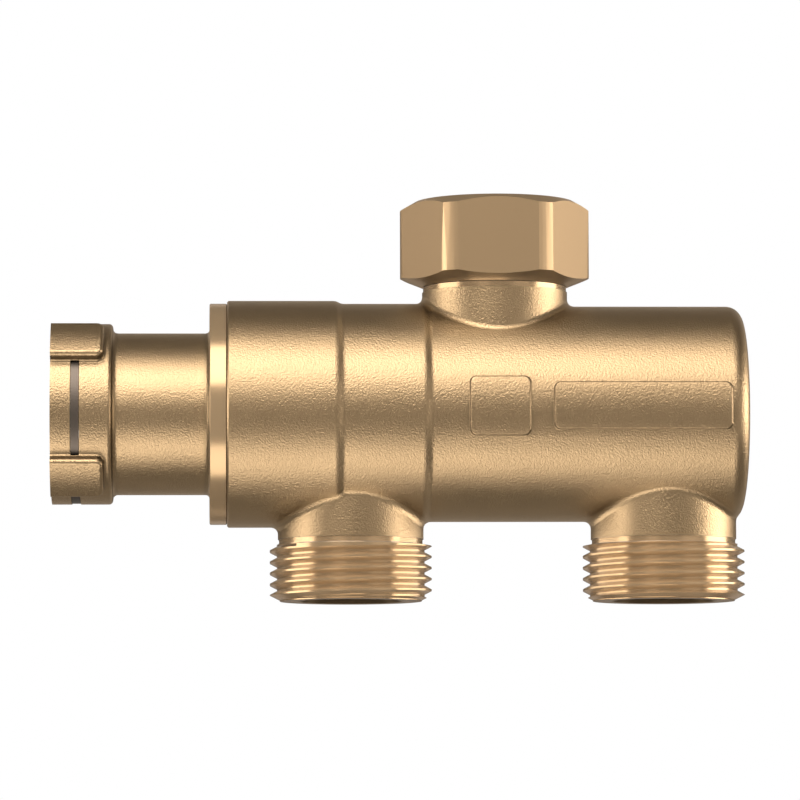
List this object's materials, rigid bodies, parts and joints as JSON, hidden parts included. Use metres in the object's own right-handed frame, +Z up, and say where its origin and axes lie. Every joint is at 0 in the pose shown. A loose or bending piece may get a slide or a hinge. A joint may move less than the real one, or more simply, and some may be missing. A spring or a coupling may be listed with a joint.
{
  "type": "three-way valve",
  "caption": "Brass three-way diverting valve body with a clip collar for its actuator, a union inlet, male outlets and a sprung spindle.",
  "frame": {"origin": "on the plane of the two outlet end faces, under the middle of the overall length, in the valve's middle plane", "axes": "+X along the body axis from the actuator collar to the closed end, +Z up towards the union inlet, -Y towards the face with the two label frames"},
  "size_m": [0.1131, 0.0372, 0.0654],
  "materials": {
    "cast_brass": "satin",
    "turned_brass": "polished",
    "stainless_steel": "satin",
    "spring_steel": "satin",
    "black_epdm": "matte",
    "dark_polymer": "matte",
    "pale_polymer": "matte",
    "fibre_gasket": "matte"
  },
  "bodies": {
    "body": {"valve_body": "cast_brass", "actuator_bonnet": "cast_brass", "bonnet_o_ring": "black_epdm", "actuator_snap_ring": "spring_steel", "stem_guide_bush": "pale_polymer", "guide_clip": "spring_steel", "guide_o_ring": "black_epdm", "stem_o_ring_outer": "black_epdm", "stem_o_ring_inner": "black_epdm", "return_spring": "spring_steel", "seat_cage": "dark_polymer", "cage_o_ring": "black_epdm", "seat_b_ring": "dark_polymer", "seat_b_o_ring": "black_epdm", "nut_retaining_ring": "spring_steel", "inlet_gasket": "fibre_gasket"},
    "spindle": {"stem": "stainless_steel", "stem_clip": "spring_steel", "spring_washer": "stainless_steel", "backing_washer_a": "stainless_steel", "shuttle_seal_a": "black_epdm", "shuttle_core": "turned_brass", "shuttle_seal_b": "black_epdm", "backing_washer_b": "stainless_steel", "shuttle_nut": "stainless_steel"},
    "nut": {"union_nut": "turned_brass"}
  },
  "joints": [
    {"name": "spindle_slide", "type": "slide", "parent": "body", "child": "spindle", "axis": [1, 0, 0], "range_m": [0, 0.007], "stiffness_N_per_m": 2000, "springref_m": -0.008, "deforming": ["return_spring"]},
    {"name": "nut_swivel", "type": "hinge", "parent": "body", "child": "nut", "pos_m": [0.01599, 0, 0.05865], "axis": [0, 0, 1], "continuous": true}
  ]
}
